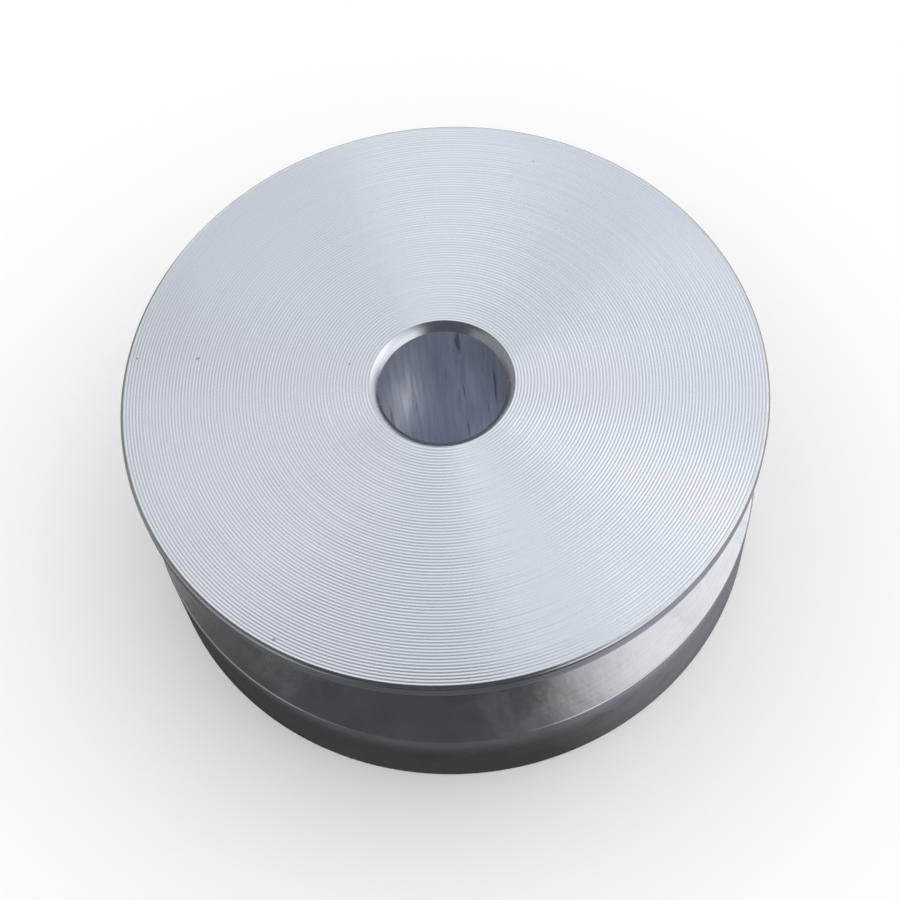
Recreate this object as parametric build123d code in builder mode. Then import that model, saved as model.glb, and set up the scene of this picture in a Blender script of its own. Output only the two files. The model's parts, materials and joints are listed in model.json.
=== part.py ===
from build123d import *

import os
from math import radians, tan

# A one-piece turned pulley. A thin upper rim and a thick lower rim have the same outside
# diameter, a V groove for a belt runs between them, and a plain bore goes through the middle.
# Sizes are in millimetres. The axis is Z, and the origin is the middle of the lower face.

# Rims. Each width is that of the straight land, edge breaks included.
outside_diameter = 50.0
upper_rim_width = 1.5
lower_rim_width = 8.0
rim_edge_break = 0.3

# Belt groove. The angle is the one between its two walls.
groove_mouth = 10.0
groove_depth = 9.0
groove_angle = 34.0
groove_root_fillet = 0.8
groove_mouth_break = 0.15

# Bore
bore_diameter = 10.0
bore_chamfer = 0.65

# Radii, measured from the axis
outside_radius = outside_diameter / 2
groove_root_radius = outside_radius - groove_depth
bore_radius = bore_diameter / 2

# Heights, measured from the lower face
mouth_low = lower_rim_width
mouth_high = mouth_low + groove_mouth
upper_face = mouth_high + upper_rim_width
wall_rise = groove_depth * tan(radians(groove_angle / 2))
root_low = mouth_low + wall_rise
root_high = mouth_high - wall_rise


# Pulley: one half section, turned once round the axis
with BuildPart() as pulley:
    with BuildSketch(Plane.XZ) as half_section:
        with BuildLine():
            Polyline(
                (bore_radius, 0),
                (outside_radius, 0),
                (outside_radius, mouth_low),
                (groove_root_radius, root_low),
                (groove_root_radius, root_high),
                (outside_radius, mouth_high),
                (outside_radius, upper_face),
                (bore_radius, upper_face),
                close=True,
            )
        make_face()

        # The corners stand in three columns: at the bore, at the groove's root and at the rims.
        root_corners = half_section.vertices().group_by(Axis.X)[1]
        fillet(root_corners, groove_root_fillet)
        bore_corners = half_section.vertices().group_by(Axis.X)[0]
        chamfer(bore_corners, bore_chamfer)

        # Up the rims, the inner two corners are the mouth of the groove.
        rim_corners = half_section.vertices().group_by(Axis.X)[-1].sort_by(Axis.Y)
        chamfer(rim_corners[1:3], groove_mouth_break)

        # The lowest and the highest are the outer edges of the two faces.
        rim_corners = half_section.vertices().group_by(Axis.X)[-1].sort_by(Axis.Y)
        chamfer([rim_corners[0], rim_corners[-1]], rim_edge_break)
    revolve(axis=Axis.Z)

pulley.part.label = "pulley"

os.makedirs("parts", exist_ok=True)
export_step(pulley.part, "parts/pulley.step")
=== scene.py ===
import json
import random
from math import hypot, pi, radians, tan, tau

import bmesh
import bpy
from bpy.props import FloatProperty, FloatVectorProperty, IntProperty, PointerProperty
from bpy.types import Operator, Panel, PropertyGroup
from mathutils import Matrix, Quaternion, Vector


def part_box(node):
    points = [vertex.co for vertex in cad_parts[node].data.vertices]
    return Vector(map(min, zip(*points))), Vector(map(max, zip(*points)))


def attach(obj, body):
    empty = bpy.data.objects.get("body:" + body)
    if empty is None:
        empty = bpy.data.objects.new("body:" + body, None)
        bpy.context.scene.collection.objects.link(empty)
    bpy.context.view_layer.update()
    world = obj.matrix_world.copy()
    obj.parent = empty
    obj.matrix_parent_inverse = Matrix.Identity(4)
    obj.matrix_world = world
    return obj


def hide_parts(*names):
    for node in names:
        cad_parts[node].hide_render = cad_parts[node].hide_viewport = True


bl_info = {
    "name": "Turned V-groove pulley",
    "version": (1, 0, 0),
    "blender": (4, 5, 0),
    "location": "View3D > Sidebar > Pulley",
    "description": "Builds a one-piece aluminium pulley with facing rings, and the studio it stands in",
    "category": "Object",
}

MM = 0.001
# How far the glowing ring round the foot reaches; the ring paints a reflection in the metal
REFLECTION_RING_REACH = 0.50

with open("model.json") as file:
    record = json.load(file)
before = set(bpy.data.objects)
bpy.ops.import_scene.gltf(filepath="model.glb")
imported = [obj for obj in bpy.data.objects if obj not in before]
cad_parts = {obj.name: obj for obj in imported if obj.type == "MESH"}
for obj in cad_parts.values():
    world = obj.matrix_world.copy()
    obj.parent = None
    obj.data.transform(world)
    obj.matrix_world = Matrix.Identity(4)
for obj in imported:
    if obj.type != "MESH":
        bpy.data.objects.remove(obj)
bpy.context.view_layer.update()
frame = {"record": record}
body_low, body_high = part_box("pulley")
mounts = {mount["name"]: mount for mount in frame["record"]["mounts"]}
bore_dims = mounts["bore"]["dims"]

# The order of the piece's material slots
FACED, TURNED, BORED, EDGES = range(4)


# ---------------------------------------------------------------- settings

def length(name, description, default):
    """A size in metres, shown to a hundredth of a millimetre."""
    return FloatProperty(
        name=name,
        description=description,
        default=default,
        min=0.0,
        precision=5,
        unit="LENGTH",
        subtype="DISTANCE",
    )


def colour(name, description, default):
    """A colour that a user can pick."""
    return FloatVectorProperty(
        name=name,
        description=description,
        default=default,
        min=0.0,
        max=1.0,
        size=3,
        subtype="COLOR",
    )


def share(name, description, default):
    """A number from 0 to 1."""
    return FloatProperty(
        name=name,
        description=description,
        default=default,
        min=0.0,
        max=1.0,
        subtype="FACTOR",
    )


def strength(name, description, default):
    """The brightness of a lamp, where 1 is white."""
    return FloatProperty(name=name, description=description, default=default, min=0.0)


class PulleySizes(PropertyGroup):
    """The sizes of the turned body. The outside sizes and the bore come from the frame."""

    outside_radius: length("Outside radius", "Radius of both rims", body_high.x)
    height: length("Height", "From the lower face to the upper face", body_high.z - body_low.z)
    bore_radius: length("Bore radius", "Radius of the plain bore", bore_dims["r_mm"] * MM)
    bore_length: length("Bore length", "Straight part of the bore", bore_dims["length_mm"] * MM)
    lower_rim_width: length("Lower rim", "Width of the thick rim", 8.0 * MM)
    groove_mouth: length("Groove mouth", "Width of the groove at the rims", 10.0 * MM)
    groove_depth: length("Groove depth", "From the rims to the groove's root", 9.0 * MM)
    root_fillet: length("Root fillet", "Radius in the two corners of the root", 0.8 * MM)
    mouth_break: length("Mouth break", "Broken edge at each side of the groove", 0.15 * MM)
    rim_break: length("Rim break", "Broken edge between a face and its rim", 0.3 * MM)
    facing_feed: length("Facing feed", "Distance from one facing ring to the next", 0.25 * MM)
    facing_depth: length("Facing depth", "Depth of a facing ring", 0.0240 * MM)
    facing_fade: share("Facing fade", "How much shallower the rings are at the back", 0.50)
    land_feed: length("Land feed", "Distance between the marks on the thin rim", 0.50 * MM)
    land_depth: length("Land depth", "Depth of the marks on the thin rim", 0.065 * MM)
    groove_angle: FloatProperty(
        name="Groove angle",
        description="Angle between the groove's two walls",
        default=radians(34.0),
        unit="ROTATION",
        subtype="ANGLE",
    )
    steps: IntProperty(
        name="Steps",
        description="Number of flats round the axis",
        default=240,
        min=24,
    )


class PulleyFinish(PropertyGroup):
    """The colours and the gloss of the bare aluminium, zone by zone."""

    faced: colour("Faced", "Colour of the two flat faces", (0.76, 0.79, 0.845))
    turned: colour("Turned", "Colour of the rims and the groove", (0.72, 0.73, 0.75))
    scuffed: colour("Scuffed", "Colour of the pale scuffs in the groove", (0.80, 0.81, 0.84))
    smudged: colour("Smudged", "Colour of the dull smudges on rims and groove", (0.42, 0.43, 0.47))
    bored: colour("Bored", "Colour of the bore", (0.70, 0.73, 0.78))
    streaked: colour("Streaked", "Colour of the dark streaks down the bore", (0.26, 0.28, 0.34))
    edges: colour("Edges", "Colour of the chamfers and broken edges", (0.79, 0.83, 0.89))
    specks: colour("Specks", "Colour of the small pits", (0.40, 0.42, 0.45))
    faced_roughness: share("Faced roughness", "Roughness between two rings", 0.17)
    turned_roughness: share("Turned roughness", "Roughness of rims and groove", 0.17)
    bored_roughness: share("Bored roughness", "Roughness of the bore", 0.38)
    edge_roughness: share("Edge roughness", "Roughness of the broken edges", 0.23)


class PulleyStage(PropertyGroup):
    """The studio: floor, sky, lamps, and glowing cards, a ring and a disc that paint reflections in the metal."""

    floor: colour("Floor", "Colour of the floor", (0.94, 0.94, 0.94))
    horizon: colour("Horizon", "Colour of the studio at floor level", (1.0, 1.0, 1.0))
    overhead: colour("Overhead", "Colour of the studio overhead", (0.527, 0.553, 0.579))
    # The cards glow and only the metal sees them: painted reflections, the dark ones painted shade and the pale ones
    # painted light.
    dark_card: colour("Dark card", "Colour that the dark cards show in the metal", (0.063, 0.066, 0.076))
    grey_card: colour("Grey card", "Colour that the grey cards show in the metal", (0.462, 0.462, 0.457))
    left_card: colour("Left card", "Colour shown by the card that stands on the left", (0.25, 0.245, 0.24))
    right_card: colour("Right card", "Colour shown by the card that stands on the right", (0.58, 0.60, 0.63))
    left_dark_card: colour("Left dark card", "Colour shown by the card overhead on the left", (0.103, 0.102, 0.099))
    back_right_card: colour("Back right card", "Colour shown by the card behind right", (0.678, 0.712, 0.759))
    back_left_card: colour("Back left card", "Colour shown by the card behind left", (0.687, 0.722, 0.756))
    # A glowing ring round the foot that only the metal sees, a painted reflection: dark as painted shade near the
    # foot, paler as painted light on the right and far out at the sides.
    painted_reflection: colour("Painted reflection", "Colour that the metal shows just above the floor", (0.055, 0.055, 0.058))
    middle_bench: colour("Middle bench", "The same, 4 mm outside the pulley", (0.115, 0.118, 0.13))
    bench_right: colour("Bench right", "The same, on the right", (0.22, 0.225, 0.24))
    middle_bench_right: colour("Middle bench right", "The same, 4 mm outside the pulley on the right", (0.36, 0.38, 0.43))
    far_bench: colour("Far bench", "Colour that the metal shows farther out on the floor", (0.06, 0.062, 0.07))
    far_bench_left: colour("Far bench left", "The same, on the left", (0.36, 0.35, 0.35))
    far_bench_right: colour("Far bench right", "The same, on the right", (0.38, 0.39, 0.41))
    # A glowing disc under the bore that only the metal sees: a painted reflection in the bore, darker in the middle,
    # with painted light on the right.
    bore_foot: colour("Bore foot", "Colour that the bore shows from below", (0.17, 0.20, 0.27))
    bore_foot_left: colour("Bore foot left", "The same, on the left", (0.27, 0.29, 0.35))
    bore_foot_right: colour("Bore foot right", "The same, on the right", (0.96, 0.97, 1.0))
    sky_light: share("Sky light", "How much the sky lights the floor", 0.97)
    strip_strength: strength("Strip", "Brightness that the long lamp adds", 0.317)
    side_strength: strength("Side lamp", "Brightness that the broad lamp on the right adds", 0.462)
    right_strength: strength("Right patch", "Brightness that the small lamp on the right adds", 0.349)
    left_strength: strength("Left patch", "Brightness that the small lamp on the left adds", 0.244)


# ---------------------------------------------------------------- shape

def section_corners(sizes):
    """The half section's corners as (radius, height), once round from the foot of the bore."""
    bore = sizes.bore_radius
    outside = sizes.outside_radius
    root = outside - sizes.groove_depth
    low = sizes.lower_rim_width
    high = low + sizes.groove_mouth
    rise = sizes.groove_depth * tan(sizes.groove_angle / 2)
    return [
        (bore, 0.0),
        (outside, 0.0),
        (outside, low),
        (root, low + rise),
        (root, high - rise),
        (outside, high),
        (outside, sizes.height),
        (bore, sizes.height),
    ]


def spin_section(bm, corners, steps):
    """Turns the closed half section once round the axis."""
    points = [bm.verts.new((radius, 0.0, height)) for radius, height in corners]
    sides = [bm.edges.new((a, b)) for a, b in zip(points, points[1:] + points[:1])]
    bmesh.ops.spin(
        bm,
        geom=points + sides,
        cent=(0.0, 0.0, 0.0),
        axis=(0.0, 0.0, 1.0),
        angle=tau,
        steps=steps,
        use_merge=True,
    )
    bmesh.ops.remove_doubles(bm, verts=bm.verts, dist=0.001 * MM)
    bmesh.ops.recalc_face_normals(bm, faces=bm.faces)


def is_on(vert, radius, height):
    """Whether a vertex lies on the circle of that radius at that height."""
    near = 0.002 * MM
    return abs(hypot(vert.co.x, vert.co.y) - radius) < near and abs(vert.co.z - height) < near


def circle_edges(bm, radius, height):
    """The edges that run round the circle of that radius at that height."""
    return [edge for edge in bm.edges if all(is_on(vert, radius, height) for vert in edge.verts)]


def break_edges(bm, circles, width, segments, profile=0.5):
    """Bevels the edges on these circles, and returns the new faces. A profile of 0.25 is flat, 0.5 is round."""
    edges = [edge for radius, height in circles for edge in circle_edges(bm, radius, height)]
    made = bmesh.ops.bevel(
        bm,
        geom=edges,
        offset=width,
        offset_type="OFFSET",
        segments=segments,
        profile=profile,
        affect="EDGES",
        clamp_overlap=False,
        material=-1,
    )
    return made["faces"]


def ring_share(vert, fade):
    """The share of the full depth that a ring has there: all of it in front, less at the back."""
    side = vert.co.y / hypot(vert.co.x, vert.co.y)
    back = min(max((side + 0.1) / 0.6, 0.0), 1.0)
    return 1.0 - fade * back * back * (3.0 - 2.0 * back)


def cut_flat_marks(bm, height, inner, outer, feed, depth, fade, into, chance):
    """Cuts the facing rings into the flat face at that height. into is -1 for the upper face."""
    radial = []
    for edge in bm.edges:
        a, b = edge.verts
        if (is_on(a, inner, height) and is_on(b, outer, height)) or (
            is_on(b, inner, height) and is_on(a, outer, height)
        ):
            radial.append(edge)
    rings = round((outer - inner) / feed)
    bmesh.ops.subdivide_edges(bm, edges=radial, cuts=2 * rings - 1, use_grid_fill=True)
    strip = (outer - inner) / (2 * rings)
    circles = [[] for _ in range(2 * rings + 1)]
    for vert in bm.verts:
        if abs(vert.co.z - height) < 0.002 * MM:
            place = round((hypot(vert.co.x, vert.co.y) - inner) / strip)
            if 0 <= place <= 2 * rings:
                circles[place].append(vert)
    for number, circle in enumerate(circles):
        if number % 2:
            sink = depth * chance.uniform(0.94, 1.06)
            for vert in circle:
                vert.co.z += into * sink * ring_share(vert, fade)
        keep_sharp(circle)


def cut_land_marks(bm, radius, low, high, feed, depth, chance):
    """Cuts the turning marks into the thin rim's land, between two heights."""
    upright = []
    for edge in bm.edges:
        a, b = sorted(edge.verts, key=lambda vert: vert.co.z)
        if is_on(a, radius, low) and is_on(b, radius, high):
            upright.append(edge)
    rings = round((high - low) / feed)
    bmesh.ops.subdivide_edges(bm, edges=upright, cuts=2 * rings - 1, use_grid_fill=True)
    strip = (high - low) / (2 * rings)
    circles = [[] for _ in range(2 * rings + 1)]
    for vert in bm.verts:
        if abs(hypot(vert.co.x, vert.co.y) - radius) < 0.002 * MM:
            place = round((vert.co.z - low) / strip)
            if 0 <= place <= 2 * rings:
                circles[place].append(vert)
    for number, circle in enumerate(circles):
        if number % 2:
            shrink = 1.0 - depth * chance.uniform(0.7, 1.1) / radius
            bmesh.ops.scale(bm, verts=circle, vec=(shrink, shrink, 1.0))
        else:
            keep_sharp(circle)


def keep_sharp(circle):
    """Marks the edges that run round a circle of vertices as sharp."""
    members = set(circle)
    for vert in circle:
        for edge in vert.link_edges:
            if edge.other_vert(vert) in members:
                edge.smooth = False


def set_zones(bm, cut_faces, sizes):
    """Gives each face the material of its zone, and keeps the borders of the cut edges sharp."""
    for face in bm.faces:
        face.smooth = True
        middle = face.calc_center_median()
        if face in cut_faces:
            face.material_index = EDGES
        elif abs(face.normal.z) > 0.99:
            face.material_index = FACED
        elif hypot(middle.x, middle.y) < 1.1 * sizes.bore_radius:
            face.material_index = BORED
        else:
            face.material_index = TURNED
    for edge in bm.edges:
        zones = {face.material_index for face in edge.link_faces}
        if len(zones) > 1:
            edge.smooth = False


def make_body_mesh(sizes):
    """The turned body as a mesh, with its axis on Z and its lower face at height 0."""
    chance = random.Random(11)
    bm = bmesh.new()
    corners = section_corners(sizes)
    spin_section(bm, corners, sizes.steps)

    chamfer = (sizes.height - sizes.bore_length) / 2
    bore_foot, low_rim, low_mouth, low_root, high_root, high_mouth, high_rim, bore_top = corners
    cut_faces = set(break_edges(bm, [bore_foot, bore_top], chamfer, segments=3, profile=0.31))
    break_edges(bm, [low_rim, high_rim], sizes.rim_break, segments=4)
    break_edges(bm, [low_mouth, high_mouth], sizes.mouth_break, segments=4)
    root_corner = (pi / 2 + sizes.groove_angle / 2) / 2
    break_edges(bm, [low_root, high_root], sizes.root_fillet / tan(root_corner), segments=6)
    set_zones(bm, cut_faces, sizes)

    inner = sizes.bore_radius + chamfer
    outer = sizes.outside_radius - sizes.rim_break
    for height, into in ((0.0, 1), (sizes.height, -1)):
        cut_flat_marks(
            bm,
            height,
            inner,
            outer,
            sizes.facing_feed,
            sizes.facing_depth,
            sizes.facing_fade,
            into,
            chance,
        )
    land_low = high_mouth[1] + sizes.mouth_break
    land_high = sizes.height - sizes.rim_break
    cut_land_marks(
        bm, sizes.outside_radius, land_low, land_high, sizes.land_feed, sizes.land_depth, chance
    )

    mesh = bpy.data.meshes.new("pulley_body")
    bm.to_mesh(mesh)
    bm.free()
    return mesh


# ---------------------------------------------------------------- node helpers

def add_node(tree, kind, **settings):
    """Adds a node, and gives it its own settings."""
    node = tree.nodes.new(kind)
    for name, value in settings.items():
        setattr(node, name, value)
    return node


def put(tree, value, socket):
    """Links an output to an input, or writes a plain value on it."""
    if isinstance(value, bpy.types.NodeSocket):
        tree.links.new(value, socket)
    else:
        socket.default_value = value


def math_node(tree, operation, *values):
    """The result of a Math node."""
    node = add_node(tree, "ShaderNodeMath", operation=operation)
    for value, socket in zip(values, node.inputs):
        put(tree, value, socket)
    return node.outputs[0]


def spread(tree, value, low, high, to_low=0.0, to_high=1.0):
    """Stretches a value from one range to another, and stops it at both ends."""
    node = add_node(tree, "ShaderNodeMapRange", interpolation_type="SMOOTHSTEP")
    for number, item in enumerate((value, low, high, to_low, to_high)):
        put(tree, item, node.inputs[number])
    return node.outputs[0]


def mix_colour(tree, share_of_second, first, second):
    """A colour between two others."""
    node = add_node(tree, "ShaderNodeMix", data_type="RGBA")
    put(tree, share_of_second, node.inputs["Factor"])
    put(tree, first, node.inputs[6])
    put(tree, second, node.inputs[7])
    return node.outputs[2]


def solid(rgb):
    """A colour property as the four numbers that a socket takes."""
    return (rgb[0], rgb[1], rgb[2], 1.0)


def new_group(name, inputs, outputs):
    """A shader node group with float inputs (name: default) and float outputs."""
    tree = bpy.data.node_groups.new(name, "ShaderNodeTree")
    for label, default in inputs.items():
        socket = tree.interface.new_socket(label, in_out="INPUT", socket_type="NodeSocketFloat")
        socket.default_value = default
    for label in outputs:
        tree.interface.new_socket(label, in_out="OUTPUT", socket_type="NodeSocketFloat")
    start = add_node(tree, "NodeGroupInput")
    end = add_node(tree, "NodeGroupOutput")
    return tree, start.outputs, end.inputs


def place_group(tree, group, **values):
    """Places a node group in a material, and sets its inputs."""
    node = add_node(tree, "ShaderNodeGroup", node_tree=group)
    for name, value in values.items():
        put(tree, value, node.inputs[name.replace("_", " ").capitalize()])
    return node.outputs


def axis_parts(tree):
    """Object coordinates as x, y, z and the distance from the axis."""
    point = add_node(tree, "ShaderNodeTexCoord").outputs["Object"]
    split = add_node(tree, "ShaderNodeSeparateXYZ")
    put(tree, point, split.inputs[0])
    x, y, z = split.outputs
    squares = math_node(tree, "ADD", math_node(tree, "POWER", x, 2.0), math_node(tree, "POWER", y, 2.0))
    return point, x, y, z, math_node(tree, "SQRT", squares)


def noise(tree, vector, scale, detail=2.0, roughness=0.5, distortion=0.0):
    """The grey output of a noise texture."""
    node = add_node(tree, "ShaderNodeTexNoise")
    put(tree, vector, node.inputs["Vector"])
    node.inputs["Scale"].default_value = scale
    node.inputs["Detail"].default_value = detail
    node.inputs["Roughness"].default_value = roughness
    node.inputs["Distortion"].default_value = distortion
    return node.outputs[0]


def joined(tree, x, y, z):
    """Three values as a vector."""
    node = add_node(tree, "ShaderNodeCombineXYZ")
    for value, socket in zip((x, y, z), node.inputs):
        put(tree, value, socket)
    return node.outputs[0]


def scaled_vector(tree, vector, scale):
    """A vector with each part scaled by its own number."""
    node = add_node(tree, "ShaderNodeVectorMath", operation="MULTIPLY")
    put(tree, vector, node.inputs[0])
    node.inputs[1].default_value = scale
    return node.outputs[0]


# ---------------------------------------------------------------- shared effects

def turning_marks_group():
    """Fine lines that run round the axis, as a lathe tool leaves them."""
    tree, given, made = new_group("Turning marks", {"Feed": 0.0001}, ["Marks"])
    point, x, y, z, radius = axis_parts(tree)
    across = math_node(tree, "ADD", math_node(tree, "DIVIDE", radius, given["Feed"]),
                       math_node(tree, "DIVIDE", z, given["Feed"]))
    drift = noise(tree, point, 60.0, detail=1.0)
    lines = noise(tree, joined(tree, across, drift, 0.0), 1.0, detail=3.0, roughness=0.6)
    put(tree, spread(tree, lines, 0.3, 0.7), made["Marks"])
    return tree


def specks_group():
    """Scattered pits, each a fraction of a millimetre wide."""
    tree, given, made = new_group("Specks", {"Density": 0.5}, ["Mask"])
    point = add_node(tree, "ShaderNodeTexCoord").outputs["Object"]
    cells = add_node(tree, "ShaderNodeTexVoronoi")
    put(tree, point, cells.inputs["Vector"])
    cells.inputs["Scale"].default_value = 420.0
    pick = add_node(tree, "ShaderNodeSeparateColor")
    put(tree, cells.outputs["Color"], pick.inputs[0])
    chosen = math_node(tree, "LESS_THAN", pick.outputs[0], given["Density"])
    size = math_node(tree, "MULTIPLY", pick.outputs[1], 0.035)
    spot = spread(tree, cells.outputs["Distance"], 0.03, math_node(tree, "ADD", size, 0.05), 1.0, 0.0)
    put(tree, math_node(tree, "MULTIPLY", chosen, spot), made["Mask"])
    return tree


def scuffs_group():
    """Cloudy patches where something has rubbed the metal."""
    tree, given, made = new_group("Scuffs", {"Amount": 0.5}, ["Mask"])
    point = add_node(tree, "ShaderNodeTexCoord").outputs["Object"]
    broad = noise(tree, point, 110.0, detail=1.0, distortion=0.3)
    fine = noise(tree, point, 520.0, detail=4.0, roughness=0.6)
    cloud = math_node(tree, "MULTIPLY_ADD", fine, 0.5, math_node(tree, "MULTIPLY", broad, 0.7))
    limit = math_node(tree, "SUBTRACT", 0.85, math_node(tree, "MULTIPLY", given["Amount"], 0.3))
    put(tree, spread(tree, cloud, limit, math_node(tree, "ADD", limit, 0.25)), made["Mask"])
    return tree


def streaks_group():
    """Dark streaks along the axis, stretched along the bore."""
    tree, given, made = new_group("Bore streaks", {"Amount": 0.5}, ["Mask", "Grain"])
    point = add_node(tree, "ShaderNodeTexCoord").outputs["Object"]
    long_way = scaled_vector(tree, point, (1.0, 1.0, 0.07))
    bold = noise(tree, long_way, 900.0, detail=3.0, roughness=0.6)
    limit = math_node(tree, "SUBTRACT", 0.80, math_node(tree, "MULTIPLY", given["Amount"], 0.3))
    put(tree, spread(tree, bold, limit, math_node(tree, "ADD", limit, 0.08)), made["Mask"])
    put(tree, noise(tree, long_way, 2300.0, detail=3.0), made["Grain"])
    return tree


# ---------------------------------------------------------------- materials

def new_metal(name, roughness):
    """A material of bare metal, with its node tree and its Principled BSDF."""
    material = bpy.data.materials.new(name)
    material.use_nodes = True
    tree = material.node_tree
    shader = tree.nodes["Principled BSDF"]
    shader.inputs["Metallic"].default_value = 1.0
    shader.inputs["Roughness"].default_value = roughness
    return material, tree, shader.inputs


def bumped(tree, height, distance, normal_socket):
    """Turns a height into a bump on the material's normal."""
    node = add_node(tree, "ShaderNodeBump")
    node.inputs["Strength"].default_value = 1.0
    node.inputs["Distance"].default_value = distance
    put(tree, height, node.inputs["Height"])
    put(tree, node.outputs["Normal"], normal_socket)


def faced_metal(finish, groups):
    """Bare aluminium between the facing rings: fine marks, faint clouds and a few pits."""
    material, tree, shader = new_metal("Faced aluminium", finish.faced_roughness)
    marks = place_group(tree, groups["marks"], feed=0.00006)["Marks"]
    pits = place_group(tree, groups["specks"], density=0.10)["Mask"]
    clouds = place_group(tree, groups["scuffs"], amount=0.55)["Mask"]
    tone = mix_colour(tree, math_node(tree, "MULTIPLY", marks, 0.12), solid(finish.faced), (0.6, 0.63, 0.67, 1.0))
    put(tree, mix_colour(tree, pits, tone, solid(finish.specks)), shader["Base Color"])
    rough = spread(tree, marks, 0.0, 1.0, finish.faced_roughness - 0.02, finish.faced_roughness + 0.05)
    put(tree, math_node(tree, "MULTIPLY_ADD", clouds, 0.05, rough), shader["Roughness"])
    height = math_node(tree, "SUBTRACT", marks, math_node(tree, "MULTIPLY", pits, 6.0))
    bumped(tree, height, 0.0000012, shader["Normal"])
    return material


def turned_metal(finish, groups):
    """Bare aluminium of the rims and the groove: smoother, with scuffs and turning lines."""
    material, tree, shader = new_metal("Turned aluminium", finish.turned_roughness)
    marks = place_group(tree, groups["marks"], feed=0.00011)["Marks"]
    scuffs = place_group(tree, groups["scuffs"], amount=0.9)["Mask"]
    pits = place_group(tree, groups["specks"], density=0.14)["Mask"]
    lined = mix_colour(tree, math_node(tree, "MULTIPLY", marks, 0.15), solid(finish.turned), (0.5, 0.51, 0.54, 1.0))
    rubbed = mix_colour(tree, scuffs, lined, solid(finish.scuffed))
    smudges = spread(tree, noise(tree, axis_parts(tree)[0], 330.0, detail=4.0, roughness=0.65), 0.50, 0.72)
    smudged = mix_colour(tree, math_node(tree, "MULTIPLY", smudges, 0.30), rubbed, solid(finish.smudged))
    put(tree, mix_colour(tree, pits, smudged, solid(finish.specks)), shader["Base Color"])
    rough = spread(tree, scuffs, 0.0, 1.0, finish.turned_roughness, finish.turned_roughness + 0.07)
    put(tree, rough, shader["Roughness"])
    ripples = noise(tree, axis_parts(tree)[0], 750.0, detail=3.0)
    height = math_node(tree, "MULTIPLY_ADD", ripples, 10.0, marks)
    bumped(tree, height, 0.0000012, shader["Normal"])
    return material


def bored_metal(finish, groups):
    """The darker metal of the bore, streaked along its axis."""
    material, tree, shader = new_metal("Bored aluminium", finish.bored_roughness)
    streaks = place_group(tree, groups["streaks"], amount=0.7)
    tone = mix_colour(tree, spread(tree, streaks["Grain"], 0.3, 0.7, 0.0, 0.25), solid(finish.bored), solid(finish.streaked))
    put(tree, mix_colour(tree, streaks["Mask"], tone, solid(finish.streaked)), shader["Base Color"])
    rough = spread(tree, streaks["Grain"], 0.3, 0.7, finish.bored_roughness, finish.bored_roughness + 0.1)
    put(tree, rough, shader["Roughness"])
    bumped(tree, streaks["Grain"], 0.000004, shader["Normal"])
    return material


def edge_metal(finish, groups):
    """The bright cut of the chamfers and the broken edges."""
    material, tree, shader = new_metal("Cut edges", finish.edge_roughness)
    marks = place_group(tree, groups["marks"], feed=0.00008)["Marks"]
    nicks = place_group(tree, groups["scuffs"], amount=0.7)["Mask"]
    lined = mix_colour(tree, math_node(tree, "MULTIPLY", marks, 0.2), solid(finish.edges), (0.55, 0.56, 0.58, 1.0))
    put(tree, lined, shader["Base Color"])
    put(tree, spread(tree, nicks, 0.0, 1.0, finish.edge_roughness, finish.edge_roughness + 0.2), shader["Roughness"])
    bumped(tree, marks, 0.0000015, shader["Normal"])
    return material


# ---------------------------------------------------------------- operators

class PULLEY_OT_make_body(Operator):
    """Spin the half section round the axis, cut the tool marks and finish the metal"""

    bl_idname = "pulley.make_body"
    bl_label = "Pulley body"
    bl_options = {"REGISTER", "UNDO"}

    def execute(self, context):
        sizes = context.scene.pulley_sizes
        finish = context.scene.pulley_finish
        groups = {
            "marks": turning_marks_group(),
            "specks": specks_group(),
            "scuffs": scuffs_group(),
            "streaks": streaks_group(),
        }
        body = bpy.data.objects.new("pulley_body", make_body_mesh(sizes))
        context.scene.collection.objects.link(body)
        for make in (faced_metal, turned_metal, bored_metal, edge_metal):
            body.data.materials.append(make(finish, groups))
        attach(body, "root")
        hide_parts("pulley")
        return {"FINISHED"}


def add_lamp(scene, name, place, size, turn, brightness):
    """A flat lamp overhead that adds the given brightness to what the metal shows, where 1 is white."""
    lamp = bpy.data.lights.new(name, "AREA")
    lamp.shape = "RECTANGLE"
    lamp.size, lamp.size_y = size
    lamp.energy = brightness * pi * size[0] * size[1]
    holder = bpy.data.objects.new(name, lamp)
    scene.collection.objects.link(holder)
    holder.location = place
    holder.rotation_euler = (0.0, 0.0, turn)
    return holder


def card_material(name, rgb, soft_edges):
    """An even glowing colour, a painted reflection, that fades out over each soft edge: (axis, where it is clear,
    where it is full).
    """
    material = bpy.data.materials.new(name)
    material.use_nodes = True
    tree = material.node_tree
    tree.nodes.remove(tree.nodes["Principled BSDF"])
    glow = add_node(tree, "ShaderNodeEmission")
    glow.inputs["Color"].default_value = solid(rgb)
    split = add_node(tree, "ShaderNodeSeparateXYZ")
    put(tree, add_node(tree, "ShaderNodeTexCoord").outputs["Object"], split.inputs[0])
    cover = 1.0
    for axis, clear, full in soft_edges:
        cover = math_node(tree, "MULTIPLY", cover, spread(tree, split.outputs[axis], clear, full))
    mix = add_node(tree, "ShaderNodeMixShader")
    put(tree, cover, mix.inputs[0])
    put(tree, add_node(tree, "ShaderNodeBsdfTransparent").outputs[0], mix.inputs[1])
    put(tree, glow.outputs[0], mix.inputs[2])
    put(tree, mix.outputs[0], tree.nodes["Material Output"].inputs["Surface"])
    return material


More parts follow.
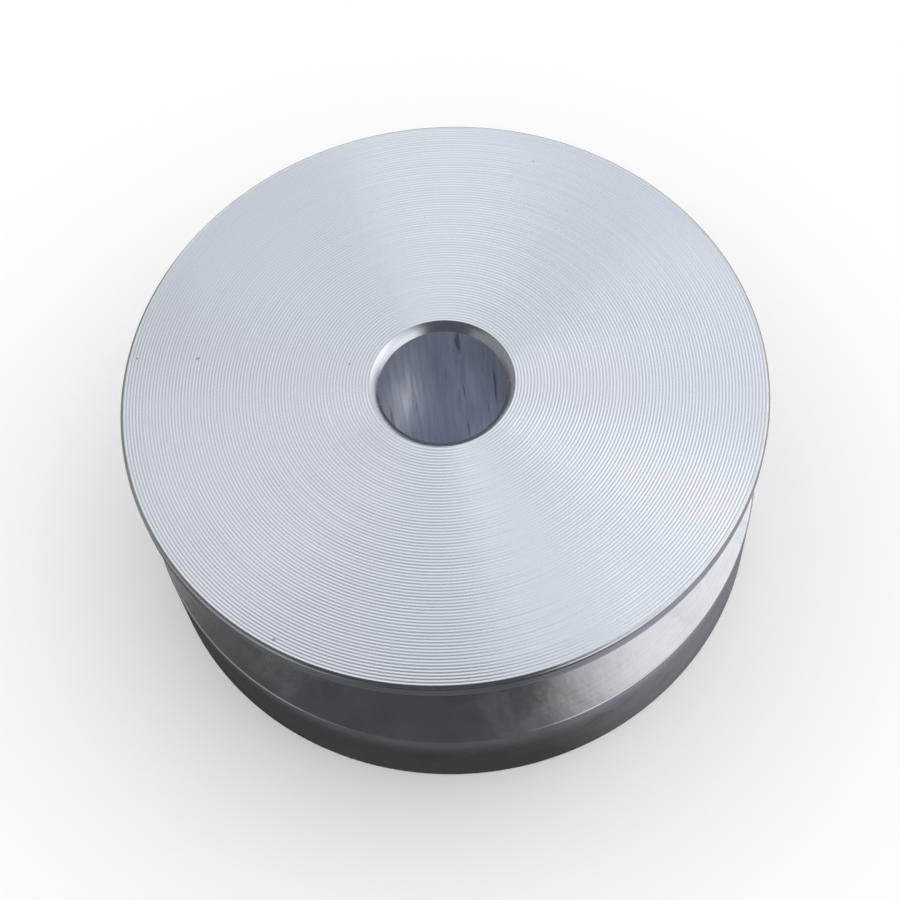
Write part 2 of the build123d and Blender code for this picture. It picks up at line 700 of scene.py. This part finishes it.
def add_card(scene, name, bm, material):
    """Links a stage mesh that is seen in reflections, and neither by the camera nor by light: a painted reflection
    in the metal.
    """
    mesh = bpy.data.meshes.new(name)
    bm.to_mesh(mesh)
    bm.free()
    mesh.materials.append(material)
    card = bpy.data.objects.new(name, mesh)
    scene.collection.objects.link(card)
    card.visible_camera = False
    card.visible_diffuse = False
    card.visible_shadow = False
    card.visible_transmission = False
    return card


def add_flat_card(scene, name, low, high, rgb, soft_edges=()):
    """A card that fills the flat box between two corners."""
    low, high = Vector(low), Vector(high)
    size = high - low
    bm = bmesh.new()
    bmesh.ops.create_grid(bm, x_segments=1, y_segments=1, size=0.5)
    upright = None if size.z == 0 else ("X" if size.y == 0 else "Y")
    if upright:
        turn = Matrix.Rotation(pi / 2, 3, upright)
        bmesh.ops.rotate(bm, verts=bm.verts, cent=(0.0, 0.0, 0.0), matrix=turn)
    bmesh.ops.scale(bm, verts=bm.verts, vec=[side or 1.0 for side in size])
    bmesh.ops.translate(bm, verts=bm.verts, vec=(low + high) / 2)
    return add_card(scene, name, bm, card_material(name, rgb, soft_edges))


def add_floor(scene, rgb):
    """A wide pale floor at height 0."""
    bm = bmesh.new()
    bmesh.ops.create_grid(bm, x_segments=1, y_segments=1, size=4.0)
    mesh = bpy.data.meshes.new("floor")
    bm.to_mesh(mesh)
    bm.free()
    material = bpy.data.materials.new("Floor paint")
    material.use_nodes = True
    shader = material.node_tree.nodes["Principled BSDF"].inputs
    shader["Base Color"].default_value = solid(rgb)
    shader["Roughness"].default_value = 0.9
    shader["Specular IOR Level"].default_value = 0.0
    mesh.materials.append(material)
    floor = bpy.data.objects.new("floor", mesh)
    scene.collection.objects.link(floor)
    return floor


def bench_material(stage, radius):
    """A glowing ring seen only in the metal, a painted reflection of the floor round it: painted shade near the
    foot, a little paler outwards, and painted light on the right.
    """
    material = bpy.data.materials.new("Painted reflection")
    material.use_nodes = True
    tree = material.node_tree
    tree.nodes.remove(tree.nodes["Principled BSDF"])
    point, x, y, z, out = axis_parts(tree)
    middle = spread(tree, out, radius + 2.0 * MM, radius + 4.0 * MM)
    left_tone = mix_colour(tree, middle, solid(stage.painted_reflection), solid(stage.middle_bench))
    right_tone = mix_colour(tree, middle, solid(stage.bench_right), solid(stage.middle_bench_right))
    near_tone = mix_colour(tree, spread(tree, x, 4.0 * MM, 20.0 * MM), left_tone, right_tone)
    side = math_node(tree, "DIVIDE", x, out)
    far_tone = mix_colour(
        tree, spread(tree, side, -0.35, -0.75), solid(stage.far_bench), solid(stage.far_bench_left)
    )
    far_tone = mix_colour(tree, spread(tree, side, 0.25, 0.9), far_tone, solid(stage.far_bench_right))
    glow = add_node(tree, "ShaderNodeEmission")
    far = spread(tree, out, radius + 11.0 * MM, radius + 24.0 * MM)
    put(tree, mix_colour(tree, far, near_tone, far_tone), glow.inputs["Color"])
    mix = add_node(tree, "ShaderNodeMixShader")
    put(tree, spread(tree, out, radius + REFLECTION_RING_REACH, radius + 0.8 * REFLECTION_RING_REACH), mix.inputs[0])
    put(tree, add_node(tree, "ShaderNodeBsdfTransparent").outputs[0], mix.inputs[1])
    put(tree, glow.outputs[0], mix.inputs[2])
    put(tree, mix.outputs[0], tree.nodes["Material Output"].inputs["Surface"])
    return material


def bore_foot_material(stage, sizes):
    """A glowing disc seen only in the bore, a painted reflection from below: slate on the left, darker in the
    middle, and pale on the right as painted light.
    """
    material = bpy.data.materials.new("Bore foot")
    material.use_nodes = True
    tree = material.node_tree
    tree.nodes.remove(tree.nodes["Principled BSDF"])
    point, x, y, z, out = axis_parts(tree)
    radius = sizes.bore_radius
    left = spread(tree, x, -0.1 * radius, -0.6 * radius)
    right = spread(tree, x, 0.2 * radius, 0.5 * radius)
    right = math_node(tree, "MULTIPLY", right, spread(tree, y, -0.2 * radius, 0.1 * radius))
    tone = mix_colour(tree, left, solid(stage.bore_foot), solid(stage.bore_foot_left))
    tone = mix_colour(tree, right, tone, solid(stage.bore_foot_right))
    glow = add_node(tree, "ShaderNodeEmission")
    put(tree, tone, glow.inputs["Color"])
    put(tree, glow.outputs[0], tree.nodes["Material Output"].inputs["Surface"])
    return material


def add_bench(scene, stage, sizes):
    """A dark glowing ring on the floor round the foot of the pulley, and a small glowing disc under the bore, both
    seen only in the metal as painted reflections.
    """
    radius = sizes.outside_radius
    bm = bmesh.new()
    bmesh.ops.create_circle(bm, cap_ends=True, segments=96, radius=radius + REFLECTION_RING_REACH)
    bmesh.ops.inset_region(bm, faces=bm.faces, thickness=REFLECTION_RING_REACH, use_boundary=True)
    inner = [face for face in bm.faces if len(face.verts) > 4]
    bmesh.ops.delete(bm, geom=inner, context="FACES")
    bmesh.ops.translate(bm, verts=bm.verts, vec=(0.0, 0.0, 0.05 * MM))
    add_card(scene, "bench_ring", bm, bench_material(stage, radius))
    # The disc under the bore glows as a painted reflection in the bore.
    bm = bmesh.new()
    bmesh.ops.create_circle(bm, cap_ends=True, segments=48, radius=1.1 * sizes.bore_radius)
    bmesh.ops.translate(bm, verts=bm.verts, vec=(0.0, 0.0, 0.05 * MM))
    foot = bore_foot_material(stage, sizes)
    add_card(scene, "bore_foot", bm, foot)


def set_sky(scene, stage):
    """A studio sky, white at floor level and a soft blue grey overhead. Its light is plain white."""
    world = bpy.data.worlds.new("Studio sky")
    scene.world = world
    world.use_nodes = True
    tree = world.node_tree
    background = tree.nodes["Background"]
    split = add_node(tree, "ShaderNodeSeparateXYZ")
    put(tree, add_node(tree, "ShaderNodeTexCoord").outputs["Generated"], split.inputs[0])
    rise = spread(tree, split.outputs["Z"], 0.45, 0.78)
    sky = mix_colour(tree, rise, solid(stage.horizon), solid(stage.overhead))
    path = add_node(tree, "ShaderNodeLightPath").outputs
    seen = math_node(tree, "ADD", path["Is Camera Ray"], path["Is Glossy Ray"])
    seen = math_node(tree, "MINIMUM", 1.0, math_node(tree, "ADD", seen, path["Is Transmission Ray"]))
    light = [stage.sky_light] * 3
    put(tree, mix_colour(tree, seen, solid(light), sky), background.inputs["Color"])


def add_camera(scene):
    """The camera, above and in front, with the pulley a little turned in the picture."""
    data = bpy.data.cameras.new("camera")
    data.lens = 68.85
    data.sensor_width = 36.0
    data.clip_start = 0.005
    holder = bpy.data.objects.new("camera", data)
    scene.collection.objects.link(holder)
    place = Vector((0.0, -0.06796, 0.13336))
    aim = Vector((0.0, -0.00598, 0.0195))
    level = (aim - place).to_track_quat("-Z", "Y")
    holder.location = place
    holder.rotation_mode = "QUATERNION"
    holder.rotation_quaternion = level @ Quaternion((0.0, 0.0, 1.0), radians(-6.506))
    scene.camera = holder


class PULLEY_OT_set_stage(Operator):
    """Add the floor, the sky, the lamps, the glowing cards that paint reflections in the metal and the camera"""

    bl_idname = "pulley.set_stage"
    bl_label = "Studio"
    bl_options = {"REGISTER", "UNDO"}

    def execute(self, context):
        scene = context.scene
        stage = scene.pulley_stage
        sizes = scene.pulley_sizes
        scene.view_settings.view_transform = "Standard"
        set_sky(scene, stage)
        add_floor(scene, stage.floor)
        # Glowing ring and disc that paint reflections and shade in the metal
        add_bench(scene, stage, sizes)
        # Glowing cards that only the metal sees: painted reflections, dark ones as painted shade, pale ones as
        # painted light.
        add_flat_card(
            scene,
            "overhead_card",
            (-0.70, -0.60, 0.52),
            (0.324, -0.036, 0.52),
            stage.dark_card,
            [("X", 0.324, 0.150), ("Y", -0.036, -0.046)],
        )
        add_flat_card(
            scene,
            "upper_left_card",
            (-0.90, -0.60, 0.54),
            (-0.088, 0.528, 0.54),
            stage.grey_card,
            [("X", -0.088, -0.150), ("Y", 0.528, 0.452)],
        )
        add_flat_card(
            scene,
            "left_dark_card",
            (-0.80, -0.60, 0.53),
            (-0.182, 0.258, 0.53),
            stage.left_dark_card,
            [("X", -0.182, -0.425), ("Y", 0.258, 0.069)],
        )
        add_flat_card(
            scene,
            "back_right_card",
            (0.001, 0.356, 0.535),
            (0.442, 0.999, 0.535),
            stage.back_right_card,
            [("X", 0.001, 0.031), ("X", 0.442, 0.412), ("Y", 0.356, 0.386), ("Y", 0.999, 0.969)],
        )
        add_flat_card(
            scene,
            "back_left_card",
            (-0.263, 0.411, 0.53),
            (-0.091, 0.993, 0.53),
            stage.back_left_card,
            [("X", -0.091, -0.121), ("X", -0.263, -0.233), ("Y", 0.411, 0.441), ("Y", 0.993, 0.963)],
        )
        add_flat_card(
            scene,
            "front_card",
            (-0.60, -0.55, 0.004),
            (0.34, -0.55, 0.52),
            stage.dark_card,
            [("X", 0.34, 0.12)],
        )
        add_flat_card(
            scene,
            "left_card",
            (-0.60, -0.55, 0.004),
            (-0.60, 1.10, 0.52),
            stage.left_card,
            [("Y", 1.10, 0.85)],
        )
        add_flat_card(
            scene,
            "right_card",
            (0.70, 0.00, 0.004),
            (0.70, 1.10, 0.30),
            stage.right_card,
            [("Y", 0.00, 0.10), ("Z", 0.30, 0.20)],
        )
        add_lamp(scene, "strip_lamp", (0.050, 0.300, 0.500), (0.152, 0.814), radians(7.3), stage.strip_strength)
        add_lamp(scene, "side_lamp", (0.538, 0.086, 0.505), (0.790, 0.651), radians(0.0), stage.side_strength)
        add_lamp(scene, "right_lamp", (0.261, 0.103, 0.495), (0.182, 0.132), radians(-41.9), stage.right_strength)
        add_lamp(scene, "left_lamp", (-0.214, 0.210, 0.490), (0.306, 0.308), radians(0.0), stage.left_strength)
        add_camera(scene)
        return {"FINISHED"}


class PULLEY_PT_panel(Panel):
    """Lists the pulley's sizes and finish, and builds it"""

    bl_idname = "PULLEY_PT_panel"
    bl_label = "Pulley"
    bl_space_type = "VIEW_3D"
    bl_region_type = "UI"
    bl_category = "Pulley"

    def draw(self, context):
        layout = self.layout
        parts = (
            (context.scene.pulley_sizes, None),
            (context.scene.pulley_finish, PULLEY_OT_make_body),
            (context.scene.pulley_stage, PULLEY_OT_set_stage),
        )
        for settings, operator in parts:
            box = layout.box()
            for name in type(settings).__annotations__:
                box.prop(settings, name)
            if operator:
                box.operator(operator.bl_idname)


CLASSES = (
    PulleySizes,
    PulleyFinish,
    PulleyStage,
    PULLEY_OT_make_body,
    PULLEY_OT_set_stage,
    PULLEY_PT_panel,
)


def register():
    """Registers the classes, and gives the scene its settings."""
    for item in CLASSES:
        bpy.utils.register_class(item)
    bpy.types.Scene.pulley_sizes = PointerProperty(type=PulleySizes)
    bpy.types.Scene.pulley_finish = PointerProperty(type=PulleyFinish)
    bpy.types.Scene.pulley_stage = PointerProperty(type=PulleyStage)


def unregister():
    """Takes the settings and the classes away again."""
    del bpy.types.Scene.pulley_stage
    del bpy.types.Scene.pulley_finish
    del bpy.types.Scene.pulley_sizes
    for item in reversed(CLASSES):
        bpy.utils.unregister_class(item)


def main():
    """Builds the pulley and its studio."""
    register()
    bpy.ops.pulley.make_body()
    bpy.ops.pulley.set_stage()


if __name__ == "__main__":
    main()
